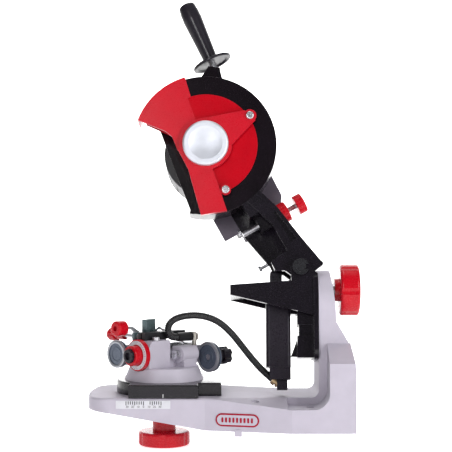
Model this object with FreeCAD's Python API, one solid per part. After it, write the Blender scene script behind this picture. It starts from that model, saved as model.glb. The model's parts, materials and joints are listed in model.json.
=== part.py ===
import FreeCAD, Part
import math
import os

# Bench chain grinder with a hydraulic vise clamp. Millimetres, +Z up.
# The origin is on the bench plane under the base. +X runs from the operator's end to the column,
# and -Y is the side of the grinding wheel's cover.

V = FreeCAD.Vector

# ---- driving dimensions -------------------------------------------------------------------

# base casting
BASE_FRONT = 36.0  # height of the table under the vise
BASE_PAD = 34.0  # height of the middle pad before the column
BASE_RIM = 26.0  # height of the rim beside the pad
FRONT_HALF = 60.0  # half width of the front table
REAR_HALF = 82.0  # half width of the bench foot
REAR_X = 63.0
PAD_HALF = 40.0
COLUMN_X = 25.0  # the column's front face
COLUMN_TOP = 177.0
BOLT_X = (-48.0, 14.0)  # bench bolt holes
BOLT_Y = (-60.0, 60.0)
BOLT_R = 4.5

# vise
VISE_X = -153.0  # the turntable's upright axis
VISE_TURN = 45.0  # how far the vise axis stands from the wheel axis, degrees
BED = (36.4, 51.0)  # low and high face of the turntable's bed
TABLE_TOP = 66.0
DIAL_X = 1.2  # places across the vise
GUIDE_X = -26.6
HOSE_X = 10.5
REAR_GUIDE_X = 34.0
REAR_GUIDE_Z = 75.5
REAR_SHAFT_R = 3.5
CYLINDER_R = 12.4

# head tilt, about a lengthwise axis through the column
TILT_Z = 154.0
REST_TILT = -10.0

# head lift, about the pivot pin
PIVOT = (5.0, 177.0)
PIVOT_R = 6.0
ARM_LEAN = 29.0  # how far the arm leans from upright, degrees
WHEEL_ALONG = 181.0  # wheel axis in the arm's frame
WHEEL_ACROSS = -25.0
GUARD_R = 83.5
GUARD_WALL = 3.5
COVER_R = 61.0
WHEEL_SEAT_R = 11.15
STOP_ALONG = 69.0  # depth screw's distance from the pivot
STOP_R = 3.0

KNOB_R = 30.0  # the two large knobs
KNOB_NECK_R = 13.5
KNOB_SCALLOPS = 6
SCALLOP_AT = 37.5
SCALLOP_R = 8.6
FIT = 0.05  # radial clearance of a running fit
HOSE_R = 4.0

UP_X = -math.sin(math.radians(ARM_LEAN))
UP_Z = math.cos(math.radians(ARM_LEAN))


# ---- helpers ------------------------------------------------------------------------------

def box(x, y, z):
    return Part.makeBox(x[1] - x[0], y[1] - y[0], z[1] - z[0], V(x[0], y[0], z[0]))


def rod(start, end, radius):
    """A cylinder from one point to another."""
    a = V(*start)
    b = V(*end)
    return Part.makeCylinder(radius, (b - a).Length, a, b - a)


def tube(start, end, outer, inner):
    a = V(*start)
    b = V(*end)
    along = (b - a).normalize()
    bore = Part.makeCylinder(inner, (b - a).Length + 2, a - along, along)
    return Part.makeCylinder(outer, (b - a).Length, a, along).cut(bore)


def outline_edges(points):
    """Edges through 2-tuples; a 3-tuple (x, z, "via") is the middle point of an arc."""
    edges = []
    count = len(points)
    i = 0
    while i < count:
        here = points[i]
        after = points[(i + 1) % count]
        if len(after) == 3:
            last = points[(i + 2) % count]
            edges.append(("arc", here[:2], after[:2], last[:2]))
            i += 2
        else:
            edges.append(("line", here[:2], after[:2]))
            i += 1
    return edges


def face_of(points, place):
    """A plane face of an outline, where place turns its two numbers into a vector."""
    made = []
    for kind, *ends in outline_edges(points):
        spots = [place(*p) for p in ends]
        if kind == "arc":
            made.append(Part.Arc(*spots).toShape())
        else:
            made.append(Part.LineSegment(*spots).toShape())
    return Part.Face(Part.Wire(made))


def side(points, y):
    """An outline in X and Z, extruded from y[0] to y[1]."""
    return face_of(points, lambda a, b: V(a, y[0], b)).extrude(V(0, y[1] - y[0], 0))


def plan(points, z):
    """An outline in X and Y, extruded from z[0] to z[1]."""
    return face_of(points, lambda a, b: V(a, b, z[0])).extrude(V(0, 0, z[1] - z[0]))


def across(points, x):
    """An outline in Y and Z, extruded from x[0] to x[1]."""
    return face_of(points, lambda a, b: V(x[0], a, b)).extrude(V(x[1] - x[0], 0, 0))


def joined(*shapes):
    whole = shapes[0]
    for shape in shapes[1:]:
        whole = whole.fuse(shape)
    return whole.removeSplitter()


def apart(*shapes):
    """Separate solids kept in one node."""
    return Part.makeCompound(list(shapes))


def rounded(shape, radius, wanted):
    """Fillets the edges that the test picks, and keeps the sharp shape if they can't be cut."""
    edges = [e for e in shape.Edges if wanted(e)]
    if not edges:
        return shape
    try:
        smooth = shape.makeFillet(radius, edges)
    except Part.OCCError:
        return shape
    return smooth if smooth.isValid() else shape


def is_ring(edge):
    return isinstance(edge.Curve, Part.Circle) and edge.Length > 6.2 * edge.Curve.Radius


def rings_of(radius):
    """Picks full circles of one radius."""
    return lambda e: is_ring(e) and abs(e.Curve.Radius - radius) < 0.01


nodes = {}


def node(name, shape):
    """Adds a piece to the set that is written at the end."""
    nodes[name] = shape


def save(name, shape):
    shape.exportStep("parts/" + name + ".step")
    state = "ok" if shape.isValid() else "INVALID"
    print(f"{name:18s} solids {len(shape.Solids)} volume {shape.Volume:10.0f} {state}")


def tilted(shape):
    """Puts a piece of the tilting head from upright into its place at rest."""
    turned = shape.copy()
    turned.rotate(V(0, 0, TILT_Z), V(1, 0, 0), REST_TILT)
    return turned


def on_vise(shape):
    """Puts a piece drawn about the vise's own axes onto the base."""
    turned = shape.copy()
    turned.rotate(V(0, 0, 0), V(0, 0, 1), -VISE_TURN)
    turned.translate(V(VISE_X, 0, 0))
    return turned


def arm(across_it, along_it):
    """X and Z of a point in the arm's frame: across to the right, and along from the pivot."""
    return (
        PIVOT[0] + along_it * UP_X + across_it * UP_Z,
        PIVOT[1] + along_it * UP_Z - across_it * UP_X,
    )


def arm_spot(across_it, y, along_it):
    """A point in the arm's frame, at a place across the machine."""
    x, z = arm(across_it, along_it)
    return (x, y, z)


def arm_outline(points):
    return [arm(*p[:2]) + tuple(p[2:]) for p in points]


WHEEL = arm(WHEEL_ACROSS, WHEEL_ALONG)


def ray(angle, radius):
    """X and Z of a point at an angle from the wheel's axis, in degrees from +X towards +Z."""
    a = math.radians(angle)
    return (WHEEL[0] + radius * math.cos(a), WHEEL[1] + radius * math.sin(a))


def sector(start, end, inner, outer, y):
    """A ring segment round the wheel's axis, counter-clockwise from start to end."""
    middle = (start + end) / 2
    points = [
        ray(start, outer),
        ray(middle, outer) + ("via",),
        ray(end, outer),
        ray(end, inner),
        ray(middle, inner) + ("via",),
        ray(start, inner),
    ]
    return side(points, y)


def disc(radius, y, at=None):
    x, z = at or WHEEL
    return rod((x, y[0], z), (x, y[1], z), radius)


def fluted(start, end, radius, flutes, depth):
    """A round knob with shallow scallops cut along its rim."""
    a = V(*start)
    b = V(*end)
    along = (b - a).normalize()
    aside = V(0, 0, 1) if abs(along.z) < 0.9 else V(1, 0, 0)
    first = along.cross(aside).normalize()
    second = along.cross(first)
    knob = Part.makeCylinder(radius, (b - a).Length, a, along)
    knob = rounded(knob, 1.2, rings_of(radius))
    cutters = []
    scallop = math.pi * radius / flutes * 0.62
    reach = radius + scallop - depth
    for i in range(flutes):
        turn = 2 * math.pi * i / flutes
        at = a + first * (reach * math.cos(turn)) + second * (reach * math.sin(turn)) - along
        cutters.append(Part.makeCylinder(scallop, (b - a).Length + 2, at, along))
    return knob.cut(Part.makeCompound(cutters))


# ---- base ---------------------------------------------------------------------------------

def base_casting():
    foot = plan(
        [
            (-212, -FRONT_HALF), (-104, -FRONT_HALF), (-8, -REAR_HALF), (REAR_X, -REAR_HALF),
            (REAR_X, REAR_HALF), (-8, REAR_HALF), (-104, FRONT_HALF), (-212, FRONT_HALF),
            (-231, 51, "via"), (-237, 32), (-240, 0, "via"), (-237, -32), (-231, -51, "via"),
        ],
        (0, BASE_FRONT),
    )
    foot = rounded(foot, 3.0, lambda e: min(v.Point.z for v in e.Vertexes) > BASE_FRONT - 0.1)
    under_nose = side([(-104, 0), (-104, -10), (-260, -10), (-260, 25), (-212, 19)], (-90, 90))
    top_slope = side(
        [(-104, BASE_FRONT), (-12, BASE_PAD), (80, BASE_PAD), (80, 60), (-104, 60)], (-90, 90)
    )
    foot = foot.cut(under_nose).cut(top_slope)
    for s in (-1, 1):
        facet = Part.makePolygon(
            [
                V(-104, s * 60.5, BASE_FRONT), V(-12, s * PAD_HALF, BASE_PAD),
                V(-8, s * 83, BASE_RIM), V(-104, s * 60.5, BASE_FRONT),
            ]
        )
        foot = foot.cut(Part.Face(facet).extrude(V(0, 0, 30)))
        low, high = sorted((s * PAD_HALF, s * 90))
        foot = foot.cut(box((-12, 80), (low, high), (BASE_RIM, 60)))
    # hollow underside in two bays, left solid round the bolt holes and under the column
    hollow = plan([(-98, -48), (-12, -66), (-12, 66), (-98, 48)], (-1, 20))
    for y in BOLT_Y:
        hollow = hollow.cut(rod((BOLT_X[0], y, -2), (BOLT_X[0], y, 21), 11))
    hollow = hollow.cut(box((-62, -56), (-90, 90), (-2, 22)))
    foot = foot.cut(hollow)

    right = [(61, 93), (63, 70), (63, 10)]
    column = side(
        [(16, 10), (16, BASE_PAD), (22.4, 36.6, "via"), (COLUMN_X, 43), (COLUMN_X, 180),
         (39, 180), (44, 137), (45, 120)] + right,
        (-PAD_HALF, PAD_HALF),
    )
    arch = rod((0, 0, 137), (80, 0, 137), PAD_HALF)
    column = column.common(joined(arch, box((0, 80), (-41, 41), (0, 137))))
    shoulder = side(
        [(16, 10), (16, BASE_RIM), (28.7, 31.3, "via"), (34, 44), (34, 110), (61, 110)] + right,
        (-REAR_HALF, REAR_HALF),
    )
    slopes = [
        across([(s * 39, 10), (s * REAR_HALF, 10), (s * REAR_HALF, 77), (s * 39, 96)], (0, 80))
        for s in (-1, 1)
    ]
    casting = joined(foot, column, shoulder.common(slopes[0]), shoulder.common(slopes[1]))
    casting = casting.cut(rod((0, 0, TILT_Z), (80, 0, TILT_Z), 8 + FIT))
    for x in BOLT_X:
        for y in BOLT_Y:
            casting = casting.cut(rod((x, y, -1), (x, y, 40), BOLT_R))
    # boss for the turntable stud, and the tab that locates the machine on the bench edge
    boss = rod((VISE_X, 0, 4), (VISE_X, 0, 20), 17)
    tab = box((-71, -63), (-70, 70), (-5, 2))
    casting = joined(casting, boss, tab)
    return casting.cut(rod((VISE_X, 0, 0), (VISE_X, 0, 50), 5.5))


def angle_scale():
    """The marked strip on the table's side, with its two rivets."""
    strip = box((-204, -143), (-61, -60), (24.4, 33.4))
    rivets = [rod((x, -62, 28.9), (x, -60.5, 28.9), 2.8) for x in (-199.3, -147.4)]
    return joined(strip, *rivets)


node("base_casting", base_casting())
node("angle_scale", angle_scale())

# turntable lock below the table
knob = rod((VISE_X, 0, -26), (VISE_X, 0, -10), KNOB_R)
knob = rounded(knob, 3.0, rings_of(KNOB_R))
knob = joined(knob, rod((VISE_X, 0, -10.5), (VISE_X, 0, 3.6), KNOB_NECK_R))
for i in range(KNOB_SCALLOPS):
    turn = 2 * math.pi * (i + 0.5) / KNOB_SCALLOPS
    x = VISE_X + SCALLOP_AT * math.cos(turn)
    y = SCALLOP_AT * math.sin(turn)
    knob = knob.cut(rod((x, y, -30), (x, y, -9), SCALLOP_R))
stud = rod((VISE_X, 0, -20), (VISE_X, 0, 58), 5)
node("turntable_knob", knob.cut(stud))
node("turntable_stud", stud)

# ---- vise ---------------------------------------------------------------------------------

bed = joined(
    rod((VISE_X, 0, BED[0]), (VISE_X, 0, BED[1]), 55),
    box((-190, -112), (-61, 20), BED),
    box((-115, -86), (-42, 42), BED),
)
bed = rounded(bed, 1.5, lambda e: min(v.Point.z for v in e.Vertexes) > BED[1] - 0.1)
node("vise_bed", bed.cut(rod((VISE_X, 0, 30), (VISE_X, 0, 60), 5 + FIT)))

table = Part.makeCone(46, 40, TABLE_TOP - BED[1], V(VISE_X, 0, BED[1]))
table = rounded(table, 2.0, rings_of(40))
table = table.cut(on_vise(rod((DIAL_X, -60, 81), (DIAL_X, -37.9, 81), 18.7)))
node("vise_turntable", table.cut(rod((VISE_X, 0, 50), (VISE_X, 0, 62), 5 + FIT)))


def rear_rod(start, end, radius):
    """A cylinder on the rear guide's axis."""
    return rod((REAR_GUIDE_X, start, REAR_GUIDE_Z), (REAR_GUIDE_X, end, REAR_GUIDE_Z), radius)


def vise_body():
    """The vise casting: a stepped block for the dial, a spine, and the cylinder's saddle."""
    front = plan([(-17, -38), (17, -38), (17, -6), (-17, -6)], (TABLE_TOP, 97))
    slope = across([(-45, 99), (-45, 78), (-34, 97), (-34, 99)], (-30, 30))
    front = front.cut(slope)
    lug = joined(
        rod((GUIDE_X, -36, 81), (GUIDE_X, -14, 81), 9.5),
        box((GUIDE_X, -10), (-36, -14), (71.5, 90.5)),
        box((-35.5, -16), (-30, -14), (TABLE_TOP, 81)),
    )
    spine = box((-15, 15), (-10, 34), (TABLE_TOP, 76))
    saddle = rod((22, 2, 80), (22, 26, 80), 9.5)
    saddle = joined(saddle, box((12, 22), (2, 26), (70.5, 89.5)))
    saddle = joined(saddle, box((8, 30), (4, 24), (TABLE_TOP, 80)))
    rear = joined(
        box((-6, 15.8), (31, 38), (68, 88)),
        box((12.6, 15.8), (31, 51), (68, 88)),
        box((12.6, 41), (45, 51), (68, 84)),
    )
    body = joined(front, lug, spine, saddle, rear)
    body = body.cut(rod((0, -6, 80), (0, 50, 80), CYLINDER_R))
    body = body.cut(rod((0, 26.2, 80), (0, 30.8, 80), CYLINDER_R + 1))
    body = body.cut(rod((DIAL_X, -40, 81), (DIAL_X, -10, 81), 5 + FIT))
    body = body.cut(rod((GUIDE_X, -40, 81), (GUIDE_X, -20, 81), 4 + FIT))
    body = body.cut(rod((22, 0, 80), (22, 14, 80), 3.2))
    body = body.cut(rear_rod(44, 60, REAR_SHAFT_R + FIT))
    body = body.cut(rod((10, -22, 60), (10, -22, 100), 2.5))
    return body


body = vise_body()
node("vise_body", on_vise(body))
cylinder = rod((0, -6, 80), (0, 44, 80), CYLINDER_R)
cylinder = joined(cylinder, tube((0, 26.2, 80), (0, 30.8, 80), CYLINDER_R + 1, 12))
cylinder = cylinder.cut(rod((0, 30, 80), (0, 46, 80), 7))
node("clamp_cylinder", on_vise(cylinder.cut(rod((0, -8, 80), (0, 12, 80), 5))))

side_bolt = joined(rod((22, -4.5, 80), (22, 13.9, 80), 3.1), rod((22, -4.5, 80), (22, 1.9, 80), 5.2))
side_bolt = side_bolt.cut(rod((22, -5, 80), (22, -1.5, 80), 2.4))
top_bolt = joined(rod((10, -22, 85), (10, -22, 100.5), 2.4), rod((10, -22, 97.05), (10, -22, 101), 4.2))
top_bolt = top_bolt.cut(rod((10, -22, 99), (10, -22, 102), 2.0))
node("vise_bolts", on_vise(apart(side_bolt, top_bolt)))

# jaws: a fixed rail on the casting and a moving rail beside it, with the chain's slot between
fixed = box((-7, -2.6), (-34, 30), (97.05, 106))
node("fixed_jaw", on_vise(fixed))
moving = joined(box((-0.6, 4), (-34, 30), (97.4, 106)), box((-0.6, 4), (-5.4, -0.6), (93.4, 98)))
node("moving_jaw", on_vise(moving))

# chain stop: a bracket, its screw, its knob and the pawl
STOP_SCREW = (-29.0, 100.8)
bracket = joined(
    box((-16.5, -13), (-20, -2), (97.05, 120)),
    box((-16.5, -8), (-20, -17.5), (108, 120)),
    box((-14, -7.3), (-18, -3), (97.05, 100)),
    box((-13.5, -8.4), (-9.8, -7.2), (101.8, 108)),
)
bracket = joined(bracket, box((-16.5, -13), (-35, -19), (97.05, 105.5)))
bracket = bracket.cut(rod((-20, *STOP_SCREW), (-10, *STOP_SCREW), 2.5 + FIT))
bracket = bracket.cut(rod((-10.8, -12, 105), (-10.8, 0, 105), 1.5 + FIT))
node("stop_bracket", on_vise(bracket))
screw = joined(
    rod((-40, *STOP_SCREW), (-8.4, *STOP_SCREW), 2.5),
    fluted((-12.6, *STOP_SCREW), (-8.4, *STOP_SCREW), 3.7, 12, 0.4),
)
node("stop_screw", on_vise(screw))
pawl_knob = fluted((-62, *STOP_SCREW), (-50, *STOP_SCREW), 7.5, 8, 0.8)
pawl_knob = joined(pawl_knob, rod((-50.5, *STOP_SCREW), (-36, *STOP_SCREW), 5.2))
node("pawl_knob", on_vise(pawl_knob.cut(rod((-40, *STOP_SCREW), (-30, *STOP_SCREW), 2.5))))
pawl = side(
    [
        (-12, 103.4), (-8.8, 103.4), (-7.7, 106.8), (-2.5, 109.3), (4.5, 107), (4.5, 109.2),
        (-2.5, 111.8), (-8.8, 108), (-12, 106.6),
    ],
    (-6.2, -3.4),
)
node("chain_pawl", on_vise(joined(pawl, rod((-10.8, -9.8, 105), (-10.8, -3, 105), 1.5))))

# clamp lever with its red knob
LEVER_KNOB_R = 8.8
LEVER_PIN_R = 2.5
lever = across(
    [(-12.5, 90), (-6, 90), (-6, 96), (-33, 112.5), (-46, 112.5), (-46, 109.6), (-34, 109.4)],
    (-21.5, -18.2),
)
lever = joined(lever, rod((-21.5, -9, 93), (-18.2, -9, 93), 4.6))
node("clamp_lever", on_vise(lever.cut(rod((-25, -9, 93), (-10, -9, 93), LEVER_PIN_R + FIT))))
lever_pin = rod((-24, -9, 93), (-17.05, -9, 93), LEVER_PIN_R)
node("lever_pin", on_vise(joined(lever_pin, rod((-24, -9, 93), (-22, -9, 93), 3.6))))
lever_knob = rod((-19.8, -58, 111), (-19.8, -44, 111), LEVER_KNOB_R)
lever_knob = rounded(lever_knob, 2.0, rings_of(LEVER_KNOB_R))
lever_knob = lever_knob.cut(rod((-19.8, -59, 111), (-19.8, -54, 111), 3.2))
node("lever_knob", on_vise(lever_knob.cut(lever)))

# dial on the casting's front face
dial = joined(
    rod((DIAL_X, -43.5, 81), (DIAL_X, -38.4, 81), 18),
    rod((DIAL_X, -53.5, 81), (DIAL_X, -43.5, 81), 11.5),
    rod((DIAL_X, -38.5, 81), (DIAL_X, -16, 81), 5),
)
dial = rounded(dial, 1.2, lambda e: is_ring(e) and e.BoundBox.YMin < -53.4)
node("dial", on_vise(dial.cut(rod((DIAL_X, -58, 81), (DIAL_X, -49, 81), 8.2))))
node("dial_ring", on_vise(tube((DIAL_X, -44.2, 81), (DIAL_X, -43.5, 81), 16.6, 12.4)))
hub = fluted((DIAL_X, -57, 81), (DIAL_X, -49, 81), 8.2, 7, 0.8)
node("dial_hub", on_vise(hub.cut(rod((DIAL_X, -62, 81), (DIAL_X, -54, 81), 4.5))))


def roller(x, z, y, radius):
    """A guide disc with a raised rim and its own stub shaft."""
    wheel = rod((x, y[0], z), (x, y[1], z), radius)
    wheel = rounded(wheel, 1.0, rings_of(radius))
    groove = tube((x, y[0] + 2.6, z), (x, y[0] + 3.6, z), radius + 1, radius - 1.2)
    return wheel.cut(groove).cut(rod((x, y[0] - 1, z), (x, y[0] + 0.7, z), radius - 3.4))


front_roller = joined(
    roller(GUIDE_X, 81, (-51, -44.6), 15.7), rod((GUIDE_X, -46, 81), (GUIDE_X, -21, 81), 4)
)
node("front_roller", on_vise(front_roller))
rear_roller = roller(REAR_GUIDE_X, REAR_GUIDE_Z, (37.5, 44.5), 17.5)
node("rear_roller", on_vise(rear_roller.cut(rear_rod(30, 60, REAR_SHAFT_R + FIT))))
node("rear_shaft", on_vise(rear_rod(38.5, 70, REAR_SHAFT_R - 0.02)))
rear_knob = fluted((REAR_GUIDE_X, 58, REAR_GUIDE_Z), (REAR_GUIDE_X, 70, REAR_GUIDE_Z), 10.5, 5, 2.6)
rear_knob = joined(rear_knob, rear_rod(51.5, 58.5, 7))
node("rear_knob", on_vise(rear_knob.cut(rear_rod(40, 90, REAR_SHAFT_R + FIT))))

# hose connection on the clamp cylinder
banjo = joined(
    rod((HOSE_X, 38.5, 80), (HOSE_X, 38.5, 103.5), 3.0),
    rod((HOSE_X, 38.5, 94.5), (HOSE_X, 38.5, 102), 5.0),
    rod((HOSE_X, 35, 99), (HOSE_X, 31.9, 99), 3.2),
)
node("hose_banjo", on_vise(banjo.cut(cylinder).cut(body)))
node("hose_boot", on_vise(Part.makeCone(5.6, 4.9, 21, V(HOSE_X, 31.9, 99), V(0, -1, 0))))

# ---- hose ---------------------------------------------------------------------------------

# The hose's route from the boot's mouth to the pump's banjo.
HOSE_ROUTE = [
    (-137.9, 0.3, 99.0),
    (-143.6, -5.4, 99.0),
    (-147.8, -9.6, 105.0),
    (-148.0, -10.5, 113.2),
    (-141.8, -10.9, 120.6),
    (-128.8, -11.0, 125.0),
    (-109.8, -11.0, 125.6),
    (-91.0, -11.3, 119.6),
    (-76.0, -12.2, 107.0),
    (-63.0, -13.2, 91.0),
    (-50.0, -14.8, 74.5),
    (-38.2, -16.2, 61.6),
    (-27.0, -18.0, 52.1),
]
HOSE_CUTS = (-97.0, -42.0)  # where the hose passes from the vise to the base, and to the pump
HOSE_GAP = 0.6


def hose_path(points):
    """Straight runs joined by tangent arcs as large as the runs allow, and the arcs' radii."""
    spots = [V(*p) for p in points]
    edges = []
    radii = []
    start = spots[0]
    for before, corner, after in zip(spots, spots[1:], spots[2:]):
        toward = (corner - before).normalize()
        away = (after - corner).normalize()
        turn = toward.getAngle(away)
        cut = 0.45 * min((corner - before).Length, (after - corner).Length)
        radii.append(cut / math.tan(turn / 2))
        first = corner - toward * cut
        last = corner + away * cut
        bisector = (away - toward).normalize()
        middle = corner + bisector * (radii[-1] / math.cos(turn / 2) - radii[-1])
        edges.append(Part.LineSegment(start, first).toShape())
        edges.append(Part.Arc(first, middle, last).toShape())
        start = last
    edges.append(Part.LineSegment(start, spots[-1]).toShape())
    return Part.Wire(edges), radii


path, radii = hose_path(HOSE_ROUTE)
heading = (V(*HOSE_ROUTE[1]) - V(*HOSE_ROUTE[0])).normalize()
ring = Part.Wire(Part.makeCircle(HOSE_R, V(*HOSE_ROUTE[0]), heading))
hose = path.makePipeShell([ring], True, True)
print("hose radii", [round(r, 1) for r in radii])
print("hose volume", round(hose.Volume))
print("section times length", round(math.pi * HOSE_R**2 * path.Length))
print("hose length", round(path.Length, 1))
half_gap = HOSE_GAP / 2
reaches = {
    "hose_vise_end": (-200, HOSE_CUTS[0] - half_gap),
    "hose_middle": (HOSE_CUTS[0] + half_gap, HOSE_CUTS[1] - half_gap),
    "hose_pump_end": (HOSE_CUTS[1] + half_gap, 0),
}
for name, reach in reaches.items():
    node(name, hose.common(box(reach, (-60, 60), (20, 160))))

# ---- swivel bracket and pump ----------------------------------------------------------------

CHEEK = (26.0, 32.0)  # the fork's cheeks, either side of the middle
ARM_CHEEK = (17.0, 24.5)


def swivel_bracket():
    flange = box((COLUMN_X - 5.3, COLUMN_X - 0.3), (-34, 34), (72, 172))
    flange = rounded(flange, 12, lambda e: abs(e.Length - 5) < 0.01)
    fork_side = [(-76, 145), (-76, 156.5), (24, 163.5), (24, 121)]
    parts = [flange]
    for s in (-1, 1):
        low, high = sorted((s * CHEEK[0], s * CHEEK[1]))
        parts.append(side([(x if x < 20 else COLUMN_X - 0.6, z) for x, z in fork_side], (low, high)))
        lug = side(
            [
                (-6, 160), (-6, PIVOT[1]), (PIVOT[0], PIVOT[1] + 11, "via"), (16, PIVOT[1]),
                (COLUMN_X - 1, 170), (COLUMN_X - 1, 160),
            ],
            (low, high),
        )
        parts.append(lug)
    anvil = box((-76, -60), (-CHEEK[1], CHEEK[1]), (145, 156.5))
    parts.append(anvil.common(side([(-76, 145), (-76, 156.5), (-60, 157.6), (-60, 141)], (-40, 40))))
    # stepped spine under the fork, with its gusset towards the pump
    parts.append(box((1, COLUMN_X - 1), (-20, 20), (112, 150)))
    parts.append(box((3, COLUMN_X - 1), (-17, 17), (98, 113)))
    parts.append(box((1, COLUMN_X - 1), (-20, 20), (74, 99)))
    parts.append(side([(-5.8, 76), (2, 76), (2, 97)], (-4, 4)))
    parts.append(box((-5.8, 2), (-9, 9), (125, 139)))
    bracket = joined(*parts)
    bracket = bracket.cut(rod((PIVOT[0], -40, PIVOT[1]), (PIVOT[0], 40, PIVOT[1]), PIVOT_R))
    bracket = bracket.cut(rod((10, 0, TILT_Z), (40, 0, TILT_Z), 7))
    return bracket


node("swivel_bracket", tilted(swivel_bracket()))
tilt_bolt = rod((COLUMN_X - 0.3, 0, TILT_Z), (70, 0, TILT_Z), 8)
tilt_bolt = joined(tilt_bolt, rod((10, 0, TILT_Z), (COLUMN_X, 0, TILT_Z), 7))
node("tilt_bolt", tilted(tilt_bolt))
tilt_knob = rod((51.5, 0, TILT_Z), (74, 0, TILT_Z), KNOB_R)
tilt_knob = rounded(tilt_knob, 3.5, rings_of(KNOB_R))
tilt_knob = joined(tilt_knob, rod((45.6, 0, TILT_Z), (52, 0, TILT_Z), 13.3))
for i in range(KNOB_SCALLOPS):
    turn = 2 * math.pi * i / KNOB_SCALLOPS
    y = SCALLOP_AT * math.cos(turn)
    z = TILT_Z + SCALLOP_AT * math.sin(turn)
    tilt_knob = tilt_knob.cut(rod((50, y, z), (76, y, z), SCALLOP_R))
node("tilt_knob", tilt_knob.cut(rod((40, 0, TILT_Z), (70.4, 0, TILT_Z), 8 + FIT)))

PUMP_X = (-34.5, -6.0)
PUMP_TOP = 155.0
PLUNGER_X = -22.5
PLUNGER_HALF = 7.0
PLUNGER_TOP = 175.6
PUMP_LOW = 64.0
pump = box(PUMP_X, (-13, 13), (PUMP_LOW, PUMP_TOP))
pump = rounded(pump, 4.0, lambda e: abs(e.Length - (PUMP_TOP - PUMP_LOW)) < 0.01)
pump = joined(pump, box((-30.5, -6.5), (-12, 12), (50, PUMP_LOW + 1)))
pump = joined(pump, box((-22, -10), (-6.5, 6.5), (38, 51)))
bore = PLUNGER_HALF + 0.35
pump = pump.cut(box((PLUNGER_X - bore, PLUNGER_X + bore), (-bore, bore), (110, 160)))
HOSE_END = V(-27.0, 0.0, 50.5)  # the hose's mouth beside the pump's foot, and its heading
HOSE_HEADING = V(0.746, 0.0, -0.666)


def on_hose_end(start, end, radius):
    a = HOSE_END + HOSE_HEADING * start
    return Part.makeCylinder(radius, end - start, a, HOSE_HEADING)


fitting = joined(on_hose_end(0.15, 5.2, 5.4), on_hose_end(5, 14, 3.2), on_hose_end(6.2, 9, 4.6))
node("pump_fitting", tilted(fitting))
hose_room = on_hose_end(-24, 0.15, HOSE_R + 0.7)
node("pump_body", tilted(pump.cut(fitting).cut(hose_room)))
plunger_reach = (PLUNGER_X - PLUNGER_HALF, PLUNGER_X + PLUNGER_HALF)
plunger = box(plunger_reach, (-PLUNGER_HALF, PLUNGER_HALF), (132, PLUNGER_TOP))
plunger = rounded(plunger, 3.0, lambda e: min(v.Point.z for v in e.Vertexes) > PLUNGER_TOP - 0.1)
node("pump_plunger", tilted(plunger))


# ---- head ---------------------------------------------------------------------------------

PUSH_BAR = (-19.6, 15.7)  # the bar that presses the pump's plunger, in the arm's frame


def arm_casting():
    """Two cheeks on the pivot pin, joined by the web that carries the depth screw."""
    foot = [(-26, 22), (-27, 11), (-17, 6), (-12, -5), (-4, -12, "via"), (6, -12)]
    heel = [(23, -10), (26, -7.4, "via"), (25, -4), (18, 34)]
    top = [(12, 74), (4, 100), (-2, 118)]
    near = arm_outline([(-13, 24)] + foot + heel + top + [(-22, 118), (-3, 60), (-3, 24)])
    pocket = arm_outline([(5, 32), (14, 32), (8, 72), (5, 72)])
    arm_shape = side(near, (-ARM_CHEEK[1], -ARM_CHEEK[0])).cut(side(pocket, (-30, -20)))
    far = arm_outline([(-28, 31)] + foot + [(12, -10), (17, 30)] + top + [(-36, 118), (-35.5, 68)])
    arm_shape = joined(arm_shape, side(far, (ARM_CHEEK[0], ARM_CHEEK[1])))
    web = arm_outline([(-22, 80), (6, 80), (0, 106), (-22, 106)])
    boss = arm_outline([(-16, 60), (11.6, 60), (11.6, 82), (-16, 82)])
    x, z = arm(*PUSH_BAR)
    arm_shape = joined(
        arm_shape,
        side(web, (-ARM_CHEEK[1] + 1, ARM_CHEEK[1] - 1)),
        side(boss, (-9, 9)),
        side(arm_outline([(5, 62), (11.6, 62), (11.6, 82), (5, 82)]), (-18, 18)),
        rod((x, -18, z), (x, 18, z), 5),
    )
    arm_shape = arm_shape.cut(disc(PIVOT_R + FIT, (-40, 40), PIVOT))
    return arm_shape.cut(rod(arm_spot(-60, 0, STOP_ALONG), arm_spot(40, 0, STOP_ALONG), STOP_R + FIT))


def pivot_tube(low, high, outer, inner):
    return tube((PIVOT[0], low, PIVOT[1]), (PIVOT[0], high, PIVOT[1]), outer, inner)


CLIP_NECK_R = 5.2  # the pin's radius in its clip grooves
pin = disc(PIVOT_R, (-37, 37), PIVOT)
clips = []
for middle in (-35.5, 35.5):
    pin = pin.cut(pivot_tube(middle - 0.7, middle + 0.7, PIVOT_R + 2, CLIP_NECK_R))
    clip = pivot_tube(middle - 0.6, middle + 0.6, 9.4, CLIP_NECK_R)
    mouth = box((PIVOT[0], PIVOT[0] + 12), (middle - 2, middle + 2), (PIVOT[1] - 3, PIVOT[1] + 3))
    clips.append(clip.cut(mouth))
node("pivot_pin", tilted(pin))
node("pivot_clips", tilted(apart(*clips)))

carrier_edge = [
    (-57, 76), (-36, 76), (-36, 63), (8, 63), (20, 78), (30, 92), (31, 118), (31, 156), (14, 186),
    (-36, 186), (-36, 118), (-57, 118),
]
carrier = side(arm_outline(carrier_edge), (24.5, 28))
node("carrier_plate", tilted(carrier.cut(disc(15, (20, 40)))))

studs = []
for along_it, edge in ((26.0, -27.0), (76.0, -35.7)):
    head_x, head_z = arm(-38.5, along_it)
    tip_x, tip_z = arm(-20, along_it)
    end_x, end_z = arm(min(edge, -35.5), along_it)
    studs.append(
        joined(
            rod((head_x, 21, head_z), (end_x, 21, end_z), 3.4),
            rod((end_x, 21, end_z), (tip_x, 21, tip_z), 2.0),
        )
    )
studs = apart(*studs)
node("arm_screws", tilted(studs))
arm_shape = arm_casting().cut(disc(GUARD_R, (-40, 14))).cut(studs)
node("arm_casting", tilted(arm_shape))

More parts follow.
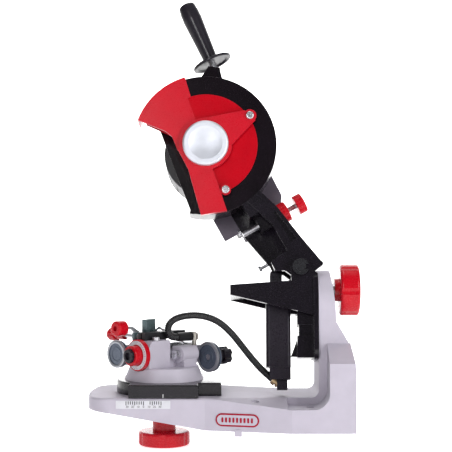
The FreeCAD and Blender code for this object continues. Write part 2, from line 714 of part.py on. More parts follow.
DRUM = (257.0, 473.0)  # the drum's rim, in degrees about the wheel's axis
FACE = (-22.0, -18.5)  # the drum's ring on the cover's side
CHORD = (200.8, 43.0)  # the back plate's straight edge: the way it faces and its distance
beyond = side(
    [ray(CHORD[0] + turn, reach) for turn, reach in
     ((0, CHORD[1]), (80, CHORD[1] / math.cos(math.radians(80))), (45, 300), (-45, 300),
      (-80, CHORD[1] / math.cos(math.radians(80))))],
    (0, 30),
)
drum = joined(
    disc(GUARD_R, (11, 14)).cut(beyond),
    sector(*DRUM, GUARD_R - GUARD_WALL, GUARD_R, (-19, 12)),
    sector(DRUM[0] + 4, DRUM[1], COVER_R - 3, GUARD_R, FACE),
    tube((WHEEL[0], 10.9, WHEEL[1]), (WHEEL[0], 24.4, WHEEL[1]), 24, 21),
    side(arm_outline([(-36, 106), (-2, 106), (6, 118), (-10, 150), (-36, 150)]), (13.9, 24.4)),
)
drum = drum.cut(side(arm_outline([(-60, 118.01), (-60, 60), (60, 60), (60, 118.01)]), (16.9, 24.6)))

# the handle leans to the operator's side from a boss on the drum's rim
HANDLE_LEAN = 23.6
HANDLE_FOOT = ray(77.8, GUARD_R + 0.5)
HANDLE_Y = -3.0
HANDLE = (-math.sin(math.radians(HANDLE_LEAN)), math.cos(math.radians(HANDLE_LEAN)))


def up_handle(distance):
    """A point on the handle's axis."""
    return V(
        HANDLE_FOOT[0] + HANDLE[0] * distance, HANDLE_Y, HANDLE_FOOT[1] + HANDLE[1] * distance
    )


def on_handle(start, end, radius, end_radius=None):
    """A cylinder or a cone along the handle's axis."""
    along = V(HANDLE[0], 0, HANDLE[1])
    if end_radius is None:
        return Part.makeCylinder(radius, end - start, up_handle(start), along)
    return Part.makeCone(radius, end_radius, end - start, up_handle(start), along)


boss = side(
    [(WHEEL[0] + x, WHEEL[1] + z) for x, z in ((-9, 80), (20, 78), (16.5, 97), (3, 99))],
    (HANDLE_Y - 11, HANDLE_Y + 11),
)
boss = boss.cut(disc(GUARD_R - 1, (-30, 30)))
drum = joined(drum, boss).cut(on_handle(-2, 30, 4)).cut(disc(21, (-30, 40)))
node("guard_drum", tilted(drum))

COVER = (-23.6, -22.0)
node("side_cover", tilted(sector(262, 472, 24, COVER_R, COVER)))

# front wing of the guard, which turns about the wheel's axis over the drum
WING = (107.0, 160.0)
WING_FACE = (-25.4, -23.9)
wing_points = [
    ray(WING[0], GUARD_R + 1.9), ray(sum(WING) / 2, GUARD_R + 1.9) + ("via",),
    ray(WING[1], GUARD_R + 1.9), ray(161.8, 50), ray(167.7, 40), ray(193, 33.7), ray(193, 27.5),
    ray(152, 27.5) + ("via",), ray(112.5, 27.5), ray(111, 60), ray(WING[0], 60.5),
]
wing = joined(
    side(wing_points, WING_FACE),
    sector(WING[0], WING[1], GUARD_R + 0.4, GUARD_R + 1.9, (-24.5, 9)),
)
node("front_wing", tilted(wing))

# strap over the cover, with a lobe to each screw and a folded chute down to the left
STRAP = (-29.0, -25.8)
SCREWS = (ray(33, 62), ray(293, 60))


def around(*points):
    """X and Z of points given from the wheel's axis."""
    return [(WHEEL[0] + x, WHEEL[1] + z) for x, z in points]


strap = joined(
    disc(31, STRAP),
    side(around((-12, 28.6), (45.6, 40.3), (52, 33.7), (58.6, 28.6), (31, -1)), STRAP),
    disc(7.6, STRAP, SCREWS[0]),
    side(around((-31, -1), (-32, -8), (-20, -31), (-5, -85), (25, -80), (18.6, -60), (8, -29)), STRAP),
    disc(6.2, STRAP, SCREWS[1]),
)
chute = side(around((-20, -31), (-5, -85), (-3, -84.6), (-18, -31)), (STRAP[0], -22.3))
lip = side(around((-5, -85), (25, -80), (24.6, -78), (-3.6, -83)), (STRAP[0], -22.3))
strap = joined(strap, chute, lip)
strap = strap.cut(disc(23.05, (-40, -20)))
for spot in SCREWS:
    strap = strap.cut(disc(3, (-40, -20), spot))
node("cover_strap", tilted(strap))

cap = disc(27, (-34.5, -29.05)).fuse(disc(23, (-29.1, -23.7)))
cap = rounded(cap, 3.0, lambda e: is_ring(e) and e.Curve.Center.y < -34 and e.Curve.Radius > 26)
cap = cap.cut(Part.makeSphere(60, V(WHEEL[0], -34.5 - 56.6, WHEEL[1])))
node("hub_cap", tilted(cap))

cover_screws = []
for spot in SCREWS:
    screw_head = disc(4.6, (-32.2, -29.05), spot)
    screw_head = rounded(screw_head, 1.2, lambda e: is_ring(e) and e.Curve.Center.y < -32)
    for half_x, half_z in ((2.6, 0.5), (0.5, 2.6)):
        screw_head = screw_head.cut(
            box((spot[0] - half_x, spot[0] + half_x), (-33, -31), (spot[1] - half_z, spot[1] + half_z))
        )
    cover_screws.append(joined(screw_head, disc(2.9, (-30, -23.8), spot)))
node("cover_screws", tilted(apart(*cover_screws)))

# motor behind the guard
MOTOR = (28.05, 80.0)
MOTOR_R = 51.0
MOTOR_BORE = 45.0
motor = rounded(disc(MOTOR_R, MOTOR), 2.0, rings_of(MOTOR_R))
motor = motor.cut(disc(MOTOR_BORE, (32, 110))).cut(disc(9, (20, 40)))
fins = [disc(1.6, (38, 74), ray(15.0 * i, MOTOR_R + 0.6)) for i in range(24)]
seat = tube((WHEEL[0], 31, WHEEL[1]), (WHEEL[0], 40.5, WHEEL[1]), 17, 13)
node("motor_housing", tilted(motor.cut(Part.makeCompound(fins)).fuse(seat)))
end_cap = disc(MOTOR_R - 0.5, (MOTOR[1], 92))
end_cap = rounded(end_cap, 5.0, lambda e: is_ring(e) and e.Curve.Center.y > 91)
end_cap = joined(end_cap, tube((WHEEL[0], 71, WHEEL[1]), (WHEEL[0], 81, WHEEL[1]), MOTOR_BORE - 0.05, 13))
vents = [sector(45 * i + 8, 45 * i + 34, 22, 34, (88.5, 95)) for i in range(8)]
end_cap = end_cap.cut(Part.makeCompound(vents)).cut(disc(8, (70, 86)))
node("motor_end_cap", tilted(end_cap))

# running gear: shaft with its rotor, the two wheel flanges and the bearings
SHAFT_R = 5.0
shaft = joined(disc(SHAFT_R, (-16, 82)), disc(28, (44, 68)), disc(7.5, (0, 20)))
node("spindle_shaft", tilted(shaft))
flanges = [
    joined(disc(20, (2.4, 7)), disc(WHEEL_SEAT_R, (-2.2, 3))).cut(disc(7.5, (-10, 20))),
    disc(20, (-8.4, -4.6)).cut(disc(SHAFT_R, (-20, 20))),
    disc(9.5, (-14.5, -8.4)).cut(disc(SHAFT_R, (-20, 20))),
]
node("wheel_flanges", tilted(apart(*flanges)))
bearings = [
    tube((WHEEL[0], 32.5, WHEEL[1]), (WHEEL[0], 40.5, WHEEL[1]), 13, SHAFT_R + FIT),
    tube((WHEEL[0], 72, WHEEL[1]), (WHEEL[0], 80, WHEEL[1]), 13, SHAFT_R + FIT),
]
node("spindle_bearings", tilted(apart(*bearings)))

# control box behind the arm, with its rocker switch
control = side(arm_outline([(-38, 76), (-8, 76), (-8, 118), (-38, 118)]), (28.05, 66))
control = rounded(control, 2.0, lambda e: abs(e.Length - 37.95) < 0.02)
control_hollow = side(arm_outline([(-35, 79), (-11, 79), (-11, 115), (-35, 115)]), (31, 60))
window = side(arm_outline([(-40, 86), (-30, 86), (-30, 108), (-40, 108)]), (38, 56))
GLAND = (-23.0, 47.0)  # the power cord's gland, in the box's underside
gland = joined(
    rod(arm_spot(*GLAND, 77), arm_spot(*GLAND, 62), 6.5),
    rod(arm_spot(*GLAND, 77), arm_spot(*GLAND, 70), 9.0),
)
cord_hole = rod(arm_spot(*GLAND, 82), arm_spot(*GLAND, 60), 3.5)
control = joined(control.cut(control_hollow).cut(window), gland).cut(cord_hole)
node("control_box", tilted(control))
rocker_edge = [(-35.4, 87.5), (-39.6, 87.0), (-38.4, 97), (-39.6, 107.0), (-35.4, 106.5)]
rocker = side(arm_outline(rocker_edge), (40, 54))
rocker = rounded(rocker, 0.6, lambda e: True)
node("switch_rocker", tilted(rocker))

# handle: a bolt in the drum's boss, and the grip with its guard flange
FLANGE_AT = 24.5
handle_bolt = on_handle(-2, 52, 4)
node("handle_bolt", tilted(handle_bolt))
flange = rounded(on_handle(FLANGE_AT, FLANGE_AT + 3.4, 24), 1.2, rings_of(24))
flange = flange.cut(on_handle(FLANGE_AT, FLANGE_AT + 1.8, 20.5, 18))
swell = [on_handle(FLANGE_AT + 3, 58, 8.4, 10), on_handle(58, 86, 10, 11.6), on_handle(86, 96, 11.6, 11.2)]
grip = joined(flange, *swell)
tip = rounded(on_handle(95, 106, 11.2, 9.8), 4.0, rings_of(9.8))
node("handle_grip", tilted(joined(grip, tip).cut(handle_bolt)))

# torsion spring round the pivot pin, swept along quarter-turn arcs
SPRING_R = 9.5
WIRE_R = 1.1
SPRING_PITCH = 3.0
SPRING_TURNS = 2
SPRING_Y = -15.0


def on_coil(eighths):
    """A point on the coil, counted in eighths of a turn."""
    turn = math.pi * eighths / 4
    return V(
        PIVOT[0] + SPRING_R * math.cos(turn),
        SPRING_Y + SPRING_PITCH * eighths / 8,
        PIVOT[1] - SPRING_R * math.sin(turn),
    )


coil = [
    Part.Arc(on_coil(i), on_coil(i + 1), on_coil(i + 2)).toShape()
    for i in range(0, 8 * SPRING_TURNS, 2)
]
wire_end = Part.Wire(Part.makeCircle(WIRE_R, on_coil(0), coil[0].tangentAt(coil[0].FirstParameter)))
spring = Part.Wire(coil).makePipeShell([wire_end], True, True)
node("lift_spring", tilted(spring))

# depth stop: the screw through the arm, its knob and its lock knob
STOP_REACH = (-37.0, 38.0)


def on_screw(low, high, radius):
    """A plain cylinder on the depth screw's axis."""
    return rod(arm_spot(low, 0, STOP_ALONG), arm_spot(high, 0, STOP_ALONG), radius)


def screw_knob(low, high, radius):
    """A finely fluted knob on the depth screw."""
    knob = fluted(arm_spot(low, 0, STOP_ALONG), arm_spot(high, 0, STOP_ALONG), radius, 18, 0.7)
    return knob.cut(on_screw(STOP_REACH[0], STOP_REACH[1] + FIT, STOP_R + FIT))


node("depth_screw", tilted(on_screw(*STOP_REACH, STOP_R)))
node("depth_knob", tilted(screw_knob(34.5, 45, 11.8)))
node("depth_lock_knob", tilted(screw_knob(12.4, 23.4, 12.2)))

os.makedirs("parts", exist_ok=True)
for name, shape in nodes.items():
    save(name, shape)
print(len(nodes), "nodes")
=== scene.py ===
import json
import math

import bmesh
import bpy
from mathutils import Matrix, Vector


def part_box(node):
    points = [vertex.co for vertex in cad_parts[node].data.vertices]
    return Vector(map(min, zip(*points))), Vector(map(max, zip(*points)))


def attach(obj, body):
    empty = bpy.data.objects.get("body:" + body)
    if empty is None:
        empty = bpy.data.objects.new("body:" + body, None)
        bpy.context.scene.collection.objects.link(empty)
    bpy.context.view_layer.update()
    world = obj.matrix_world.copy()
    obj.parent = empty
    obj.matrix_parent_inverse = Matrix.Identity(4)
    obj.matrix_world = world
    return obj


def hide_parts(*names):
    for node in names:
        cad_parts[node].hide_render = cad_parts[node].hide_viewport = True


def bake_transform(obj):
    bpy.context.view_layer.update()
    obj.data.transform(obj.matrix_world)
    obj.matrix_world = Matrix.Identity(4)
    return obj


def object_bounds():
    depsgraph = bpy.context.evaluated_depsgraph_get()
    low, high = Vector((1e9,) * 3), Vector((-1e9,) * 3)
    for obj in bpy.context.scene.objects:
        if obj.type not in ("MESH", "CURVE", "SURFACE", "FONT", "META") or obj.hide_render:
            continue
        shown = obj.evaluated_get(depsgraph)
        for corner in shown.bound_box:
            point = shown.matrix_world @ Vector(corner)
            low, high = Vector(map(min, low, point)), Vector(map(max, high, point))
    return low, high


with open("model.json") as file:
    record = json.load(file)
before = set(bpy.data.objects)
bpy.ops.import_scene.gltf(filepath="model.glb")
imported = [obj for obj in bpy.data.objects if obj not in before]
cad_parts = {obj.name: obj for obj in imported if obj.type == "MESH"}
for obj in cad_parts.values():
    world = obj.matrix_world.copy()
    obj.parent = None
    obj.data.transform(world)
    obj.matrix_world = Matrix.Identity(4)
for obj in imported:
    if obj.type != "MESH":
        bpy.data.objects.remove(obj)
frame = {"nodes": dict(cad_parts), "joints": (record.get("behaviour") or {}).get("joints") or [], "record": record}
cad_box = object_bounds()

# ---- camera -------------------------------------------------------------------------------

CAMERA_SPOT = (-0.0807, -1.4, 0.229)
LENS_MM = 95.33
SENSOR_MM = 36

camera = bpy.data.objects.new("camera", bpy.data.cameras.new("camera"))
bpy.context.scene.collection.objects.link(camera)
camera.location = CAMERA_SPOT
camera.rotation_euler = (math.radians(90), 0, 0)
camera.data.lens = LENS_MM
camera.data.sensor_width = SENSOR_MM
bpy.context.scene.camera = camera

# ---- places from the frame ----------------------------------------------------------------

# TILTED places what is drawn with the head upright, and ON_VISE what is drawn along the vise's own axes
JOINTS = {joint["name"]: joint for joint in frame["joints"]}
TILT_POINT = Vector(JOINTS["tilt"]["pos_m"])
HEAD_TURN = Vector(JOINTS["spindle_spin"]["axis"])
TILT = math.atan2(HEAD_TURN.z, HEAD_TURN.y)
TILTED = (
    Matrix.Translation(TILT_POINT) @ Matrix.Rotation(TILT, 4, "X") @ Matrix.Translation(-TILT_POINT)
)
VISE_AXIS = Vector(JOINTS["vise_turn"]["pos_m"])
VISE_TURN = math.radians(-45)
ON_VISE = Matrix.Translation((VISE_AXIS.x, 0, 0)) @ Matrix.Rotation(VISE_TURN, 4, "Z")
UPRIGHT = TILTED.inverted()
WHEEL = UPRIGHT @ Vector(JOINTS["spindle_spin"]["pos_m"])
PIVOT = UPRIGHT @ Vector(JOINTS["lift"]["pos_m"])
SCREW = UPRIGHT @ Vector(JOINTS["depth_turn"]["pos_m"])
ACROSS = (UPRIGHT.to_3x3() @ Vector(JOINTS["depth_turn"]["axis"])).normalized()
ALONG = Vector((-ACROSS.z, 0, ACROSS.x))


def arm(across, along):
    """X and Z of a point in the arm's frame, from the pivot, in the upright frame."""
    spot = PIVOT + ACROSS * across + ALONG * along
    return spot.x, spot.z


def ray(angle, radius):
    """X and Z of a point at an angle about the wheel's axis, in degrees."""
    turn = math.radians(angle)
    return WHEEL.x + radius * math.cos(turn), WHEEL.z + radius * math.sin(turn)


# ---- materials ----------------------------------------------------------------------------


def add(tree, kind, **inputs):
    """A node with its inputs set: a value is set on the socket, and a socket is linked to it."""
    made = tree.nodes.new(kind)
    for name, value in inputs.items():
        socket = made.inputs[name.replace("_", " ")]
        if isinstance(value, bpy.types.NodeSocket):
            tree.links.new(value, socket)
        else:
            socket.default_value = value
    return made


def ramp(tree, value, low, high, to_low, to_high):
    """A value mapped from one range to another, and held inside it."""
    made = add(tree, "ShaderNodeMapRange", Value=value)
    made.inputs["From Min"].default_value = low
    made.inputs["From Max"].default_value = high
    made.inputs["To Min"].default_value = to_low
    made.inputs["To Max"].default_value = to_high
    return made.outputs["Result"]


def blend_colour(tree, share, first, second):
    made = tree.nodes.new("ShaderNodeMix")
    made.data_type = "RGBA"
    tree.links.new(share, made.inputs["Factor"])
    for socket, colour in ((made.inputs[6], first), (made.inputs[7], second)):
        if isinstance(colour, bpy.types.NodeSocket):
            tree.links.new(colour, socket)
        else:
            socket.default_value = (*colour, 1.0)
    return made.outputs[2]


def edge_mask(tree, width):
    """How near a sharp outer edge is, from 0 to 1."""
    bevel = tree.nodes.new("ShaderNodeBevel")
    bevel.samples = 4
    bevel.inputs["Radius"].default_value = width
    plain = tree.nodes.new("ShaderNodeNewGeometry")
    dot = tree.nodes.new("ShaderNodeVectorMath")
    dot.operation = "DOT_PRODUCT"
    tree.links.new(bevel.outputs["Normal"], dot.inputs[0])
    tree.links.new(plain.outputs["Normal"], dot.inputs[1])
    return ramp(tree, dot.outputs["Value"], 0.98, 0.80, 0.0, 1.0)


def finish_of(
    name, colour, rough, metal=0.0, coat=0.0, coat_rough=0.08, shade=0.12, shade_size=60.0,
    grain=900.0, grain_depth=0.04, waves=0.0, waves_depth=0.0, wear_and_highlight=None, wear_and_highlight_width=0.0004,
    rough_spread=0.06, stretch=(1.0, 1.0, 1.0), gloss=0.5,
):
    """A painted, plated or moulded surface: uneven colour and gloss, grain, soft waves, and sharp edges lightened
    towards a colour that is partly worn paint and partly a painted edge highlight.
    """
    made = bpy.data.materials.new(name)
    made.use_nodes = True
    tree = made.node_tree
    surface = tree.nodes["Principled BSDF"]
    place = tree.nodes.new("ShaderNodeTexCoord").outputs["Object"]
    mapped = add(tree, "ShaderNodeMapping", Vector=place, Scale=stretch).outputs["Vector"]
    patches = add(tree, "ShaderNodeTexNoise", Vector=place, Scale=shade_size, Detail=3.0).outputs["Fac"]
    fine = add(tree, "ShaderNodeTexNoise", Vector=mapped, Scale=grain, Detail=2.0).outputs["Fac"]
    dark = tuple(c * (1 - shade) for c in colour)
    light = tuple(min(1.0, c * (1 + shade)) for c in colour)
    tint = blend_colour(tree, ramp(tree, patches, 0.3, 0.7, 0, 1), dark, light)
    speck = blend_colour(tree, ramp(tree, fine, 0.35, 0.65, 0, 0.5), tint, light)
    # the edge colour lightens the sharp edges: partly worn paint, partly a painted edge highlight
    if wear_and_highlight:
        worn_and_lit = add(tree, "ShaderNodeMath", Value=edge_mask(tree, wear_and_highlight_width))
        worn_and_lit.operation = "MULTIPLY"
        tree.links.new(ramp(tree, patches, 0.38, 0.62, 0.15, 0.75), worn_and_lit.inputs[1])
        speck = blend_colour(tree, worn_and_lit.outputs["Value"], speck, wear_and_highlight)
    tree.links.new(speck, surface.inputs["Base Color"])
    tree.links.new(
        ramp(tree, fine, 0.3, 0.7, max(0.03, rough - rough_spread), rough + rough_spread),
        surface.inputs["Roughness"],
    )
    normal = add(tree, "ShaderNodeBump", Height=fine, Strength=1.0, Distance=grain_depth / grain)
    if waves:
        swell = add(tree, "ShaderNodeTexNoise", Vector=place, Scale=waves, Detail=1.5).outputs["Fac"]
        normal = add(
            tree, "ShaderNodeBump", Height=swell, Strength=1.0, Distance=waves_depth / waves,
            Normal=normal.outputs["Normal"],
        )
    tree.links.new(normal.outputs["Normal"], surface.inputs["Normal"])
    surface.inputs["Metallic"].default_value = metal
    surface.inputs["Specular IOR Level"].default_value = gloss
    surface.inputs["Coat Weight"].default_value = coat
    surface.inputs["Coat Roughness"].default_value = coat_rough
    return made


def turned_finish(name, colour, centre, axis, pitch, rough=0.25, depth=0.00002):
    """Turned metal: fine grooves round an axis."""
    made = finish_of(name, colour, rough, metal=0.9, shade=0.06, grain=2500.0, grain_depth=0.02)
    tree = made.node_tree
    surface = tree.nodes["Principled BSDF"]
    place = tree.nodes.new("ShaderNodeTexCoord").outputs["Object"]
    offset = tree.nodes.new("ShaderNodeVectorMath")
    offset.operation = "SUBTRACT"
    offset.inputs[1].default_value = centre
    tree.links.new(place, offset.inputs[0])
    crossed = tree.nodes.new("ShaderNodeVectorMath")
    crossed.operation = "CROSS_PRODUCT"
    crossed.inputs[1].default_value = axis
    tree.links.new(offset.outputs["Vector"], crossed.inputs[0])
    away = tree.nodes.new("ShaderNodeVectorMath")
    away.operation = "LENGTH"
    tree.links.new(crossed.outputs["Vector"], away.inputs[0])
    rings = tree.nodes.new("ShaderNodeMath")
    rings.operation = "SINE"
    steps = tree.nodes.new("ShaderNodeMath")
    steps.operation = "MULTIPLY"
    steps.inputs[1].default_value = 2 * math.pi / pitch
    tree.links.new(away.outputs["Value"], steps.inputs[0])
    tree.links.new(steps.outputs["Value"], rings.inputs[0])
    bump = add(tree, "ShaderNodeBump", Height=rings.outputs["Value"], Strength=1.0, Distance=depth)
    tree.links.new(bump.outputs["Normal"], surface.inputs["Normal"])
    return made


STEEL = (0.56, 0.56, 0.59)
RED = (0.46, 0.002, 0.010)
PALE_RED = (0.72, 0.10, 0.14)

# the edge colours given below lighten each finish's sharp edges: partly worn paint, partly painted edge highlights
FINISH = {
    "silver_casting": finish_of(
        "silver_paint", (0.47, 0.44, 0.51), 0.55, metal=0.15, shade=0.05, grain=1500, grain_depth=0.12,
        waves=45, waves_depth=0.008, wear_and_highlight=(0.62, 0.59, 0.66), gloss=0.2,
    ),
    "scale_plate": finish_of("plate_white", (0.60, 0.60, 0.64), 0.4, shade=0.04, grain_depth=0.02),
    "hose_rubber": finish_of(
        "hose_black", (0.006, 0.006, 0.007), 0.27, shade=0.25, grain=1400, grain_depth=0.03, gloss=0.5,
    ),
    "boot_rubber": finish_of("boot_black", (0.009, 0.009, 0.010), 0.42, shade=0.2, grain=1100, gloss=0.4),
    "black_enamel": finish_of(
        "black_enamel", (0.0055, 0.004, 0.007), 0.24, coat=0.25, coat_rough=0.12, shade=0.3, grain=1000,
        grain_depth=0.01, waves=210, waves_depth=0.030, wear_and_highlight=(0.09, 0.085, 0.10), gloss=0.22,
    ),
    "steel": finish_of("zinc_steel", STEEL, 0.28, metal=0.95, shade=0.12, grain=1800, grain_depth=0.05),
    "cylinder_steel": turned_finish(
        "cylinder_turned", (0.60, 0.61, 0.64), ON_VISE @ Vector((0, 0, 0.080)),
        (ON_VISE.to_3x3() @ Vector((0, 1, 0))), 0.0006,
    ),
    "black_steel": finish_of(
        "blackened_steel", (0.018, 0.018, 0.020), 0.38, metal=0.4, shade=0.3, wear_and_highlight=(0.25, 0.25, 0.26),
    ),
    "dark_steel": finish_of(
        "dark_steel", (0.12, 0.17, 0.18), 0.32, metal=0.6, shade=0.25, wear_and_highlight=(0.40, 0.42, 0.44),
    ),
    "fitting_steel": finish_of("plated_fitting", (0.45, 0.42, 0.38), 0.3, metal=0.9, shade=0.15),
    "lever_steel": finish_of(
        "bent_plate", (0.55, 0.57, 0.60), 0.3, metal=0.9, shade=0.1, grain=500, stretch=(1.0, 1.0, 6.0),
    ),
    "red_plastic": finish_of(
        "red_moulding", RED, 0.26, coat=0.18, shade=0.08, grain=700, grain_depth=0.010, waves=60,
        waves_depth=0.001, wear_and_highlight=PALE_RED, wear_and_highlight_width=0.0003, gloss=0.2,
    ),
    "black_plastic": finish_of(
        "black_moulding", (0.012, 0.010, 0.015), 0.33, coat=0.15, shade=0.15, grain=1600, grain_depth=0.04,
        wear_and_highlight=(0.05, 0.045, 0.055), gloss=0.25,
    ),
    "guide_grey": finish_of("guide_face", (0.085, 0.105, 0.145), 0.32, metal=0.3, coat=0.2, shade=0.15),
    "pump_black": finish_of(
        "pump_tube", (0.012, 0.009, 0.015), 0.30, metal=0.2, shade=0.2, grain=400, stretch=(6.0, 6.0, 1.0),
        wear_and_highlight=(0.06, 0.055, 0.07), gloss=0.25,
    ),
    "fitting_brass": finish_of(
        "aged_brass", (0.42, 0.30, 0.17), 0.32, metal=0.95, shade=0.35, shade_size=220, wear_and_highlight=(0.8, 0.65, 0.5),
    ),
    "pin_black": finish_of("oiled_pin", (0.03, 0.03, 0.034), 0.3, metal=0.7, shade=0.2),
    "spring_steel": finish_of("spring_wire", (0.28, 0.28, 0.29), 0.3, metal=0.95, shade=0.15),
    "carrier_grey": finish_of(
        "grey_plate", (0.085, 0.070, 0.095), 0.45, metal=0.2, shade=0.1, wear_and_highlight=(0.25, 0.24, 0.28),
    ),
    "guard_black": finish_of(
        "guard_enamel", (0.0045, 0.0025, 0.0045), 0.22, coat=0.2, shade=0.3, grain=900, grain_depth=0.01,
        waves=80, waves_depth=0.004, wear_and_highlight=(0.30, 0.27, 0.30), wear_and_highlight_width=0.0003, gloss=0.15,
    ),
    "cover_red": finish_of(
        "dark_red_lacquer", (0.42, 0.001, 0.008), 0.28, coat=0.15, gloss=0.08, shade=0.06, grain=1200,
        waves=30, waves_depth=0.008, wear_and_highlight=(0.62, 0.10, 0.14), wear_and_highlight_width=0.0003,
    ),
    "strap_red": finish_of(
        "bright_red_lacquer", (0.48, 0.003, 0.014), 0.30, coat=0.3, coat_rough=0.16, gloss=0.2, shade=0.06,
        grain=1200, waves=30, waves_depth=0.008, wear_and_highlight=PALE_RED, wear_and_highlight_width=0.0003,
    ),
    "hub_silver": turned_finish(
        "spun_aluminium", (0.66, 0.68, 0.74), Vector(JOINTS["spindle_spin"]["pos_m"]), HEAD_TURN, 0.0012,
        rough=0.52,
    ),
    "motor_black": finish_of(
        "motor_paint", (0.009, 0.008, 0.011), 0.38, shade=0.15, grain=1300, grain_depth=0.25,
        wear_and_highlight=(0.07, 0.07, 0.08), gloss=0.4,
    ),
    "bearing_steel": finish_of("bearing_steel", STEEL, 0.2, metal=1.0, shade=0.08),
    "control_black": finish_of(
        "switch_box", (0.024, 0.023, 0.028), 0.45, shade=0.12, grain=1500, grain_depth=0.2, gloss=0.4,
    ),
    "flange_steel": turned_finish(
        "turned_flange", STEEL, Vector(JOINTS["spindle_spin"]["pos_m"]), HEAD_TURN, 0.0008,
    ),
    "switch_red": finish_of("switch_red", (0.55, 0.01, 0.015), 0.2, coat=0.4, shade=0.06, grain_depth=0.01),
}

RIM = finish_of("knurled_rim", (0.36, 0.37, 0.40), 0.36, metal=0.9, shade=0.12, grain=1800)
PRINT = finish_of("dark_print", (0.008, 0.008, 0.010), 0.6, shade=0.2, gloss=0.2)
BADGE_RED = finish_of("badge_red", (0.30, 0.004, 0.022), 0.35, coat=0.1, shade=0.06, gloss=0.2)
MARK = finish_of("white_mark", (0.85, 0.85, 0.85), 0.5, shade=0.05)

for part in frame["record"]["subparts"]:
    shown = frame["nodes"][part["node"]]
    shown.data.materials.clear()
    shown.data.materials.append(FINISH[part["material_slot"]])

# ---- mesh helpers -------------------------------------------------------------------------


def piece(name, mesh, body, material, place=Matrix.Identity(4), bevel=0.0, smooth=False):
    """Adds a mesh that was drawn in one of the frames above, and rides it on its body."""
    mesh.transform(place)
    mesh.update()
    made = bpy.data.objects.new(name, mesh)
    bpy.context.scene.collection.objects.link(made)
    made.data.materials.append(material)
    for polygon in mesh.polygons:
        polygon.use_smooth = smooth
    if bevel:
        rounding = made.modifiers.new("rounding", "BEVEL")
        rounding.width = bevel
        rounding.segments = 3
        rounding.limit_method = "ANGLE"
    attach(made, body)
    return made


def from_bmesh(name, made):
    bmesh.ops.remove_doubles(made, verts=made.verts, dist=1e-7)
    bmesh.ops.recalc_face_normals(made, faces=made.faces)
    mesh = bpy.data.meshes.new(name)
    made.to_mesh(mesh)
    made.free()
    return mesh


def slab(name, outline, low, high):
    """An outline in X and Z, solid from low to high in Y."""
    made = bmesh.new()
    near = [made.verts.new((x, low, z)) for x, z in outline]
    far = [made.verts.new((x, high, z)) for x, z in outline]
    made.faces.new(near)
    made.faces.new(list(reversed(far)))
    for i, corner in enumerate(near):
        j = (i + 1) % len(near)
        made.faces.new((corner, far[i], far[j], near[j]))
    return from_bmesh(name, made)


def turned(name, profile, centre, axis, steps=96, ripple=0, ripple_depth=0.0):
    """A closed profile of (radius, distance) turned round an axis; ripple knurls its outermost points."""
    axis = Vector(axis).normalized()
    first = axis.orthogonal().normalized()
    second = axis.cross(first)
    outermost = max(radius for radius, _ in profile)
    made = bmesh.new()
    rings = []
    for i in range(steps):
        turn = 2 * math.pi * i / steps
        spoke = first * math.cos(turn) + second * math.sin(turn)
        ring = []
        for radius, distance in profile:
            if ripple and radius > outermost - 1e-6:
                radius -= ripple_depth * (0.5 + 0.5 * math.cos(ripple * turn))
            ring.append(made.verts.new(Vector(centre) + spoke * radius + axis * distance))
        rings.append(ring)
    for i in range(steps):
        here, there = rings[i], rings[(i + 1) % steps]
        for k in range(len(profile)):
            j = (k + 1) % len(profile)
            made.faces.new((here[k], here[j], there[j], there[k]))
    return from_bmesh(name, made)


def band(start, end, inner, outer, steps=40):
    """The outline of a ring segment round the wheel's axis."""
    turns = [start + (end - start) * i / steps for i in range(steps + 1)]
    return [ray(t, outer) for t in turns] + [ray(t, inner) for t in reversed(turns)]


# ---- hose ---------------------------------------------------------------------------------

HOSE_ROUTE = [
    (-0.1379, 0.0003, 0.0990),
    (-0.1436, -0.0054, 0.0990),
    (-0.1478, -0.0096, 0.1050),
    (-0.1480, -0.0105, 0.1132),
    (-0.1418, -0.0109, 0.1206),
    (-0.1288, -0.0110, 0.1250),
    (-0.1098, -0.0110, 0.1256),
    (-0.0910, -0.0113, 0.1196),
    (-0.0760, -0.0122, 0.1070),
    (-0.0630, -0.0132, 0.0910),
    (-0.0500, -0.0148, 0.0745),
    (-0.0382, -0.0162, 0.0616),
    (-0.0270, -0.0180, 0.0521),
]
HOSE_R = 0.0040
RIB_PITCH = 0.0022
RIB_HEIGHT = 0.0006
HOSE_SPLIT_X = -0.095


def spline_points(route):
    """The points of the smooth curve that has the route as its control points."""
    curve = bpy.data.curves.new("route", "CURVE")
    curve.dimensions = "3D"
    line = curve.splines.new("NURBS")
    line.points.add(len(route) - 1)
    for point, spot in zip(line.points, route):
        point.co = (*spot, 1.0)
    line.order_u = 3
    line.use_endpoint_u = True
    line.resolution_u = 64
    carrier = bpy.data.objects.new("route", curve)
    bpy.context.scene.collection.objects.link(carrier)
    mesh = bpy.data.meshes.new_from_object(carrier)
    points = [vertex.co.copy() for vertex in mesh.vertices]
    bpy.data.meshes.remove(mesh)
    bpy.data.objects.remove(carrier)
    bpy.data.curves.remove(curve)
    return points


